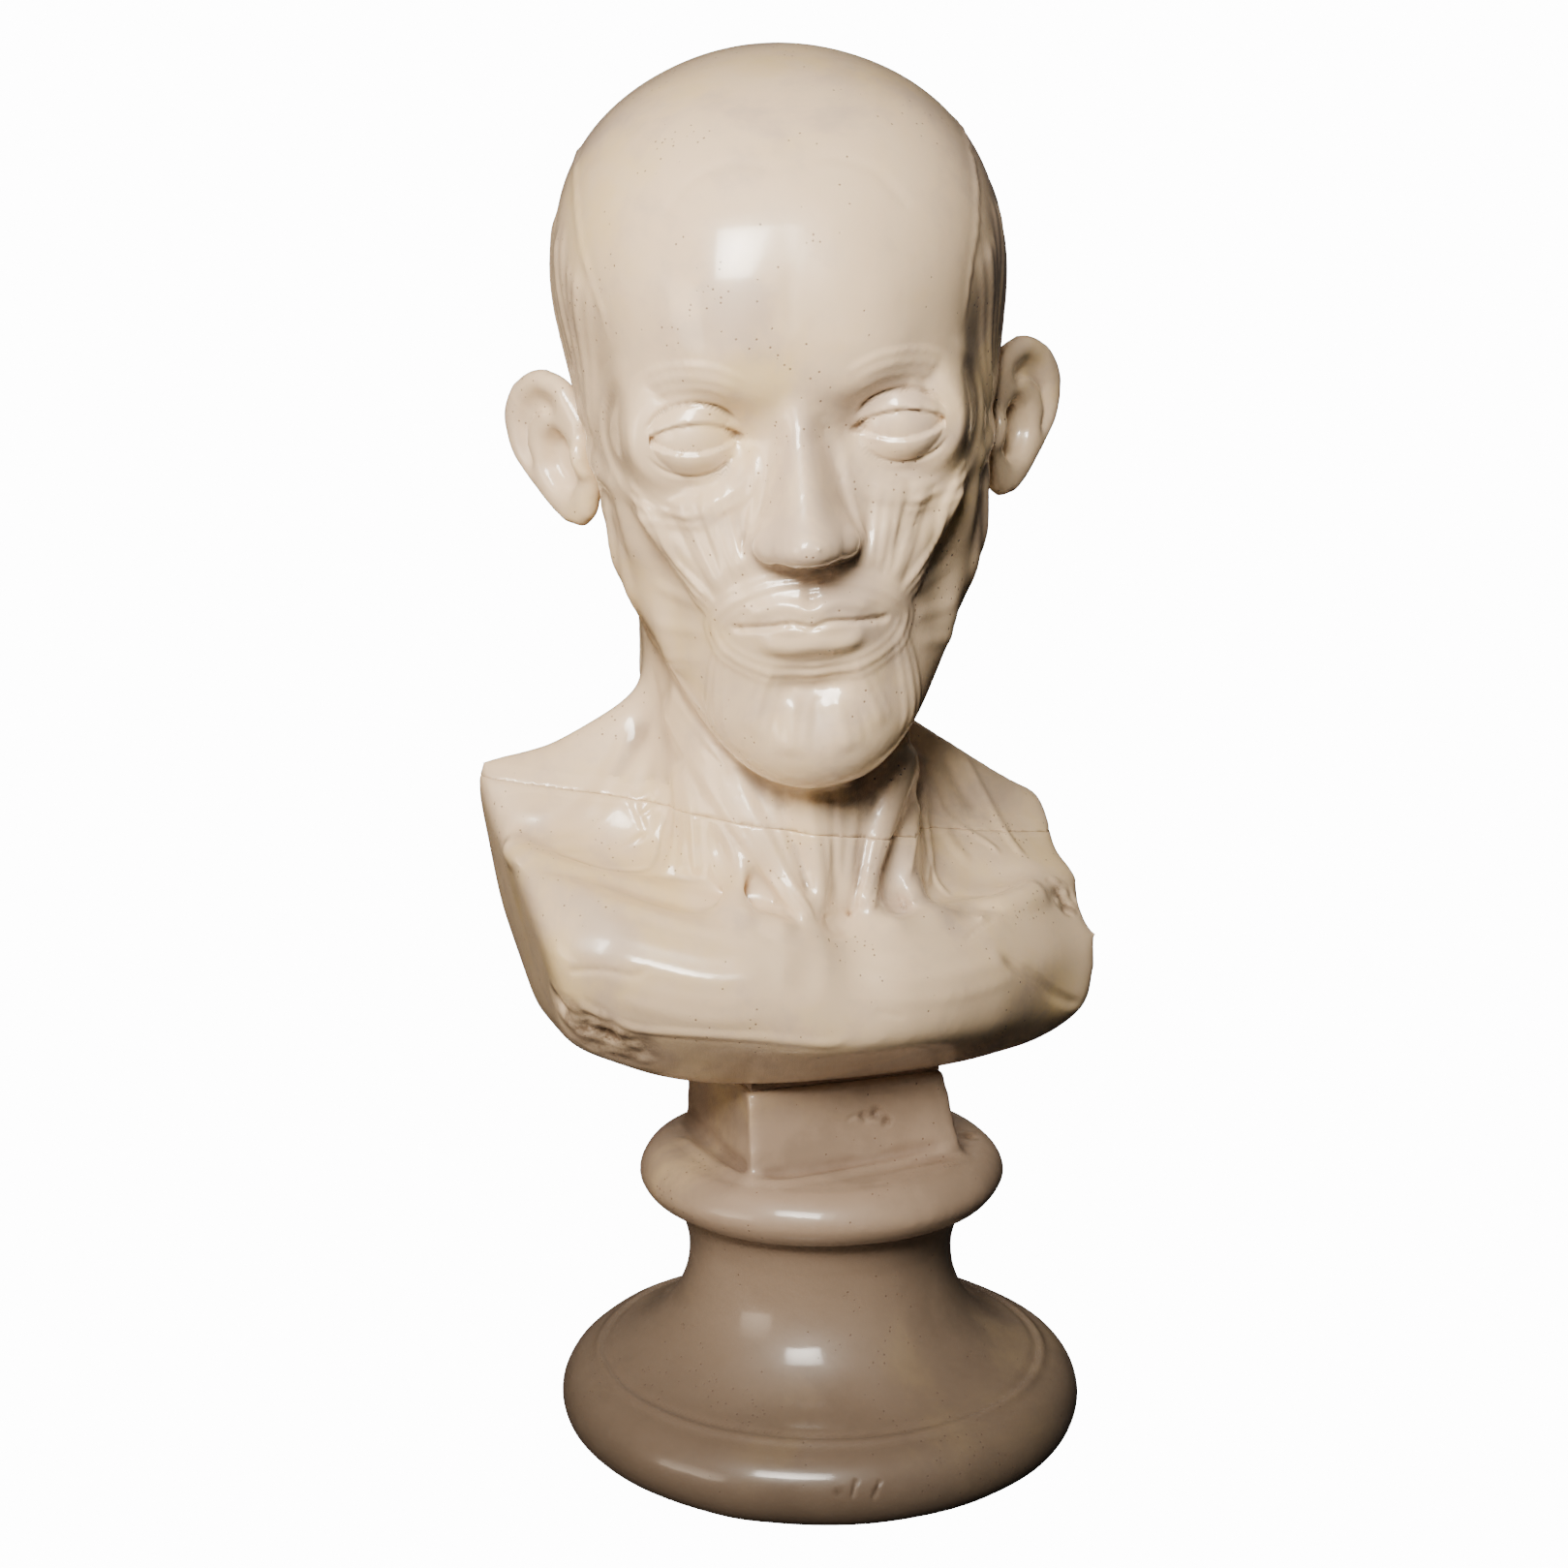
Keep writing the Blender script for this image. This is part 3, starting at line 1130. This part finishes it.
class PLASTER_OT_inner(bpy.types.Operator):
    """Finishes the pieces inside the bust: scrim, iron, wire, wood and raw plaster."""
    bl_idname = "plaster.inner"
    bl_label = "Inner Pieces"

    def execute(self, context):
        for name, (*finish, pieces) in INNER_FINISHES.items():
            material = simple_material(name, *finish)
            for piece in pieces:
                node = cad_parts[piece]
                for slot in node.material_slots:
                    slot.material = material
                if not node.material_slots:
                    node.data.materials.append(material)
        return {"FINISHED"}


def socket(group, name, kind, into=True, default=None):
    """Adds a socket to a node group's interface."""
    made = group.interface.new_socket(name=name, in_out="INPUT" if into else "OUTPUT",
                                      socket_type=kind)
    if default is not None:
        made.default_value = default


class Nodes:
    """Short names for building a node tree."""

    def __init__(self, tree):
        self.tree = tree

    def add(self, kind, values=None, **settings):
        """A new node, with its settings and the values of its inputs."""
        node = self.tree.nodes.new(kind)
        for name, value in settings.items():
            setattr(node, name, value)
        for name, value in (values or {}).items():
            self.give(node, name, value)
        return node

    def give(self, node, name, value):
        """Links a socket to an input, or sets the input to a value."""
        target = node.inputs[name]
        if isinstance(value, bpy.types.NodeSocket):
            self.tree.links.new(value, target)
        else:
            target.default_value = value

    def mix(self, factor, a, b):
        """One colour mixed into another."""
        node = self.add("ShaderNodeMix", data_type="RGBA")
        node.clamp_factor = True
        self.give(node, 0, factor)
        self.give(node, 6, a)
        self.give(node, 7, b)
        return node.outputs[2]

    def noise(self, vector, scale, detail, roughness, distortion=0.0):
        """A field of noise, from 0 to 1."""
        node = self.add("ShaderNodeTexNoise", {"Vector": vector, "Scale": scale, "Detail": detail,
                                               "Roughness": roughness, "Distortion": distortion})
        return node.outputs[0]

    def ramp(self, value, low, high, out_low=0.0, out_high=1.0):
        """A value spread smoothly from one range to another."""
        node = self.add("ShaderNodeMapRange", {0: value, 1: low, 2: high, 3: out_low, 4: out_high},
                        interpolation_type="SMOOTHSTEP")
        return node.outputs[0]

    def join(self, operation, a, b):
        """Two values joined by one operation."""
        return self.add("ShaderNodeMath", {0: a, 1: b}, operation=operation).outputs[0]

    def times(self, a, b):
        """Two values multiplied."""
        return self.join("MULTIPLY", a, b)


def new_material(name):
    """A new material, with the helper for its nodes and its main shader."""
    material = bpy.data.materials.new(name)
    material.use_nodes = True
    return material, Nodes(material.node_tree), material.node_tree.nodes["Principled BSDF"]


def group_of(name, builder):
    """The shared node group of that name, built the first time."""
    if name in bpy.data.node_groups:
        return bpy.data.node_groups[name]
    tree = bpy.data.node_groups.new(name, "ShaderNodeTree")
    builder(tree)
    return tree


def build_mottle(tree):
    """Broad blotches of yellowed and of greyed varnish over the base colour."""
    for name in ("Base", "Yellowed", "Greyed"):
        socket(tree, name, "NodeSocketColor")
    socket(tree, "Scale", "NodeSocketFloat", default=MOTTLE_SCALE)
    socket(tree, "Amount", "NodeSocketFloat", default=MOTTLE_AMOUNT)
    socket(tree, "Color", "NodeSocketColor", into=False)
    nodes = Nodes(tree)
    given = nodes.add("NodeGroupInput").outputs
    place = nodes.add("ShaderNodeTexCoord").outputs["Object"]
    broad = nodes.noise(place, given["Scale"], *BROAD_NOISE)
    fine = nodes.noise(place, nodes.times(given["Scale"], MOTTLE_FINE_SCALE), *FINE_NOISE)
    shift = nodes.add("ShaderNodeVectorMath", {0: place, 1: MOTTLE_SHIFT}, operation="ADD")
    other = nodes.noise(shift.outputs[0], nodes.times(given["Scale"], MOTTLE_OTHER_SCALE),
                        *OTHER_NOISE)
    yellow = nodes.times(nodes.ramp(broad, *YELLOW_RAMP), given["Amount"])
    grey = nodes.times(nodes.ramp(other, *GREY_RAMP), given["Amount"])
    speck = nodes.times(nodes.ramp(fine, *SPECK_RAMP), SPECK_SHARE)
    colour = nodes.mix(yellow, given["Base"], given["Yellowed"])
    colour = nodes.mix(grey, colour, given["Greyed"])
    colour = nodes.mix(speck, colour, given["Greyed"])
    nodes.give(nodes.add("NodeGroupOutput"), "Color", colour)


def build_pores(tree):
    """Pinholes left by air in the mould, as a mask."""
    socket(tree, "Scale", "NodeSocketFloat", default=PORE_SCALE)
    socket(tree, "Share", "NodeSocketFloat", default=PORE_SHARE)
    socket(tree, "Mask", "NodeSocketFloat", into=False)
    nodes = Nodes(tree)
    given = nodes.add("NodeGroupInput").outputs
    place = nodes.add("ShaderNodeTexCoord").outputs["Object"]
    cells = nodes.add("ShaderNodeTexVoronoi", {"Vector": place, "Scale": given["Scale"]})
    dot = nodes.ramp(cells.outputs["Distance"], *PORE_RAMP)
    split = nodes.add("ShaderNodeSeparateColor", {0: cells.outputs["Color"]})
    cluster = nodes.ramp(nodes.noise(place, *PORE_CLUSTER_NOISE), *PORE_CLUSTER_RAMP)
    chosen = nodes.join("LESS_THAN", split.outputs[0], nodes.times(given["Share"], cluster))
    nodes.give(nodes.add("NodeGroupOutput"), "Mask", nodes.times(dot, chosen))


def build_surface(tree):
    """The fine waviness of brushed varnish over cast plaster, as a height."""
    socket(tree, "Pores", "NodeSocketFloat", default=0.0)
    socket(tree, "Height", "NodeSocketFloat", into=False)
    nodes = Nodes(tree)
    given = nodes.add("NodeGroupInput").outputs
    place = nodes.add("ShaderNodeTexCoord").outputs["Object"]
    wave = nodes.times(nodes.noise(place, *WAVE_NOISE), WAVE_HEIGHT)
    grain = nodes.times(nodes.noise(place, *GRAIN_NOISE), GRAIN_HEIGHT)
    height = nodes.join("ADD", wave, grain)
    height = nodes.join("SUBTRACT", height, nodes.times(given["Pores"], PORE_DEPTH))
    nodes.give(nodes.add("NodeGroupOutput"), "Height", height)


def plaster_like(name, base, yellowed, greyed, roughness, coat):
    """Varnished plaster, with blotches, pinholes, grime in the hollows and a worn gloss."""
    if name in bpy.data.materials:
        return bpy.data.materials[name]
    material, nodes, shader = new_material(name)
    grime = (*bpy.context.scene.bust_tones.grime, 1.0)
    mottle = nodes.add("ShaderNodeGroup", node_tree=group_of("Plaster Mottle", build_mottle))
    for key, value in (("Base", base), ("Yellowed", yellowed), ("Greyed", greyed)):
        mottle.inputs[key].default_value = (*value, 1.0)
    mottle.inputs["Amount"].default_value = MOTTLE_AMOUNT
    pores = nodes.add("ShaderNodeGroup", node_tree=group_of("Plaster Pores", build_pores))
    hollow = nodes.add("ShaderNodeAttribute", attribute_name="hollow").outputs["Fac"]
    deep = nodes.ramp(hollow, *DEEP_RAMP)
    proud = nodes.ramp(hollow, *PROUD_RAMP)
    place = nodes.add("ShaderNodeTexCoord").outputs["Object"]
    patchy = nodes.ramp(nodes.noise(place, *PATCHY_NOISE), *PATCHY_RAMP)
    colour = nodes.mix(nodes.times(deep, patchy), mottle.outputs[0], grime)
    soil = nodes.add("ShaderNodeAttribute", attribute_name="soil").outputs["Fac"]
    blotch = nodes.ramp(nodes.noise(place, *SOIL_NOISE), *SOIL_RAMP)
    colour = nodes.mix(nodes.times(soil, blotch), colour, grime)
    colour = nodes.mix(proud, colour, (*[min(1.0, value * PROUD_GAIN) for value in base], 1.0))
    colour = nodes.mix(nodes.times(pores.outputs[0], PORE_GRIME), colour, grime)
    height = nodes.add("ShaderNodeSeparateXYZ", {0: place}).outputs["Z"]
    low = nodes.ramp(height, 0.0, FOOT_BROWN_HEIGHT, FOOT_BROWN_SHARE, 0.0)
    colour = nodes.mix(low, colour, (*[FOOT_BROWN * value for value in base], 1.0))
    nodes.give(shader, "Base Color", colour)
    rough = nodes.ramp(nodes.noise(place, *GLOSS_NOISE), *GLOSS_RANGE,
                       *[roughness * share for share in GLOSS_SHARES])
    nodes.give(shader, "Roughness", nodes.join("ADD", rough, nodes.times(deep, DEEP_ROUGHNESS)))
    shader.inputs["Coat Weight"].default_value = coat
    shader.inputs["Coat Roughness"].default_value = COAT_ROUGHNESS
    shader.inputs["Subsurface Weight"].default_value = GLOW_WEIGHT
    shader.inputs["Subsurface Radius"].default_value = GLOW_RADIUS
    shader.inputs["Subsurface Scale"].default_value = GLOW_DEPTH * MM
    surface = nodes.add("ShaderNodeGroup", node_tree=group_of("Plaster Surface", build_surface))
    nodes.give(surface, "Pores", pores.outputs[0])
    bump = nodes.add("ShaderNodeBump", {"Height": surface.outputs[0], "Strength": SURFACE_BUMP,
                                        "Distance": SURFACE_BUMP_DEPTH * MM})
    nodes.give(shader, "Normal", bump.outputs[0])
    return material


def plaster():
    """The bust's glossy ivory plaster."""
    tones = bpy.context.scene.bust_tones
    return plaster_like("Varnished Plaster", tones.plaster, tones.yellowed, tones.greyed,
                        *BUST_GLOSS)


def socle_plaster():
    """The socle's browner, duller plaster."""
    tones = bpy.context.scene.bust_tones
    yellowed = [SOCLE_YELLOW_SHARE * (a + b) for a, b in zip(tones.socle, tones.yellowed)]
    greyed = [SOCLE_GREY_SHARE * value for value in tones.socle]
    return plaster_like("Socle Plaster", tones.socle, yellowed, greyed, *SOCLE_GLOSS)


def simple_material(name, colour, roughness, metallic, bump_strength):
    """A plain finish with a little unevenness, for the pieces inside."""
    material, nodes, shader = new_material(name)
    place = nodes.add("ShaderNodeTexCoord").outputs["Object"]
    field = nodes.noise(place, *INNER_NOISE)
    dark = [INNER_DARK_SHARE * value for value in colour]
    nodes.give(shader, "Base Color", nodes.mix(field, (*dark, 1.0), (*colour, 1.0)))
    shader.inputs["Roughness"].default_value = roughness
    shader.inputs["Metallic"].default_value = metallic
    bump = nodes.add("ShaderNodeBump", {"Height": field, "Strength": bump_strength,
                                        "Distance": INNER_BUMP_DEPTH * MM})
    nodes.give(shader, "Normal", bump.outputs[0])
    return material


class PLASTER_OT_stage(bpy.types.Operator):
    """Sets the pale floor, the lights and the photographer's camera."""
    bl_idname = "plaster.stage"
    bl_label = "Stage"

    def execute(self, context):
        tones = context.scene.bust_tones
        mesh = bpy.data.meshes.new("studio_floor")
        bm = bmesh.new()
        bmesh.ops.create_grid(bm, x_segments=1, y_segments=1, size=FLOOR_HALF)
        bm.to_mesh(mesh)
        bm.free()
        floor = new_object("studio_floor", mesh)
        mesh.materials.append(floor_material(tones.floor))
        for name, (place, size, power, tint) in LIGHTS.items():
            add_light(name, place, size, power, tint)
        light_world(context.scene)
        add_camera(context.scene)
        return {"FINISHED"}


def floor_material(tone):
    """A floor that is nearly white to the lens but throws little light back on the bust."""
    material, nodes, shader = new_material("Studio Floor")
    path = nodes.add("ShaderNodeLightPath").outputs["Is Camera Ray"]
    shader.inputs["Base Color"].default_value = (*[FLOOR_SHARE * value for value in tone], 1.0)
    shader.inputs["Roughness"].default_value = FLOOR_ROUGHNESS
    shader.inputs["Specular IOR Level"].default_value = 0.0
    shader.inputs["Emission Color"].default_value = WHITE
    nodes.give(shader, "Emission Strength", nodes.times(path, BACKDROP_GLOW))
    return material


def add_light(name, place, size, power, tint):
    """A soft light with a level long side, aimed at the bust's middle."""
    light = bpy.data.lights.new(name, "AREA")
    light.shape = "RECTANGLE"
    light.size, light.size_y = size
    light.energy = power
    light.color = tint
    light.spread = math.radians(LIGHT_SPREAD)
    obj = bpy.data.objects.new(name, light)
    obj.visible_glossy = name not in MATT_LIGHTS
    bpy.context.scene.collection.objects.link(obj)
    obj.location = place
    obj.rotation_euler = (Vector(LIGHT_AIM) - Vector(place)).to_track_quat("-Z", "Y").to_euler()


def light_world(scene):
    """A backdrop that is nearly white to the lens and dimmer to the bust."""
    world = bpy.data.worlds.new("Studio Air")
    scene.world = world
    world.use_nodes = True
    tree = world.node_tree
    tree.nodes.clear()
    nodes = Nodes(tree)
    seen = nodes.add("ShaderNodeBackground", {"Color": WHITE, "Strength": BACKDROP_GLOW})
    felt = nodes.add("ShaderNodeBackground", {"Color": (*WORLD_TINT, 1.0), "Strength": WORLD_FILL})
    path = nodes.add("ShaderNodeLightPath")
    mix = nodes.add("ShaderNodeMixShader", {0: path.outputs["Is Camera Ray"],
                                            1: felt.outputs[0], 2: seen.outputs[0]})
    nodes.add("ShaderNodeOutputWorld", {"Surface": mix.outputs[0]})


def add_camera(scene):
    """The camera where the photographer stood."""
    data = bpy.data.cameras.new("photographer")
    data.lens = CAMERA_LENS
    data.sensor_width = CAMERA_SENSOR
    data.clip_start = CAMERA_NEAR
    camera = bpy.data.objects.new("photographer", data)
    scene.collection.objects.link(camera)
    camera.location = lens_place()
    camera.rotation_euler = (math.radians(90 - CAMERA_PITCH), 0,
                             math.radians(-CAMERA_BEARING - CAMERA_YAW))
    scene.camera = camera


class PLASTER_PT_panel(bpy.types.Panel):
    """Lists the steps that dress the bust, and the values they use."""
    bl_label = "Plaster Bust"
    bl_idname = "PLASTER_PT_panel"
    bl_space_type = "VIEW_3D"
    bl_region_type = "UI"
    bl_category = "Plaster Bust"

    def draw(self, context):
        for values in (context.scene.bust_sizes, context.scene.bust_tones):
            for name in values.__annotations__:
                self.layout.prop(values, name)
        for operator in OPERATORS:
            self.layout.operator(operator.bl_idname)


OPERATORS = (PLASTER_OT_bust, PLASTER_OT_ears, PLASTER_OT_socle, PLASTER_OT_inner,
             PLASTER_OT_stage)
CLASSES = (BustSizes, BustTones, *OPERATORS, PLASTER_PT_panel)


def register():
    """Adds the classes and the scene's values."""
    for item in CLASSES:
        bpy.utils.register_class(item)
    bpy.types.Scene.bust_sizes = PointerProperty(type=BustSizes)
    bpy.types.Scene.bust_tones = PointerProperty(type=BustTones)


def unregister():
    """Takes them away again."""
    del bpy.types.Scene.bust_tones
    del bpy.types.Scene.bust_sizes
    for item in reversed(CLASSES):
        bpy.utils.unregister_class(item)


def main():
    """Dresses the bust and keeps its size before and after."""
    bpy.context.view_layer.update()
    register()
    bpy.ops.plaster.bust()
    bpy.ops.plaster.ears()
    bpy.ops.plaster.socle()
    bpy.ops.plaster.inner()
    bpy.ops.plaster.stage()


if __name__ == "__main__":
    main()
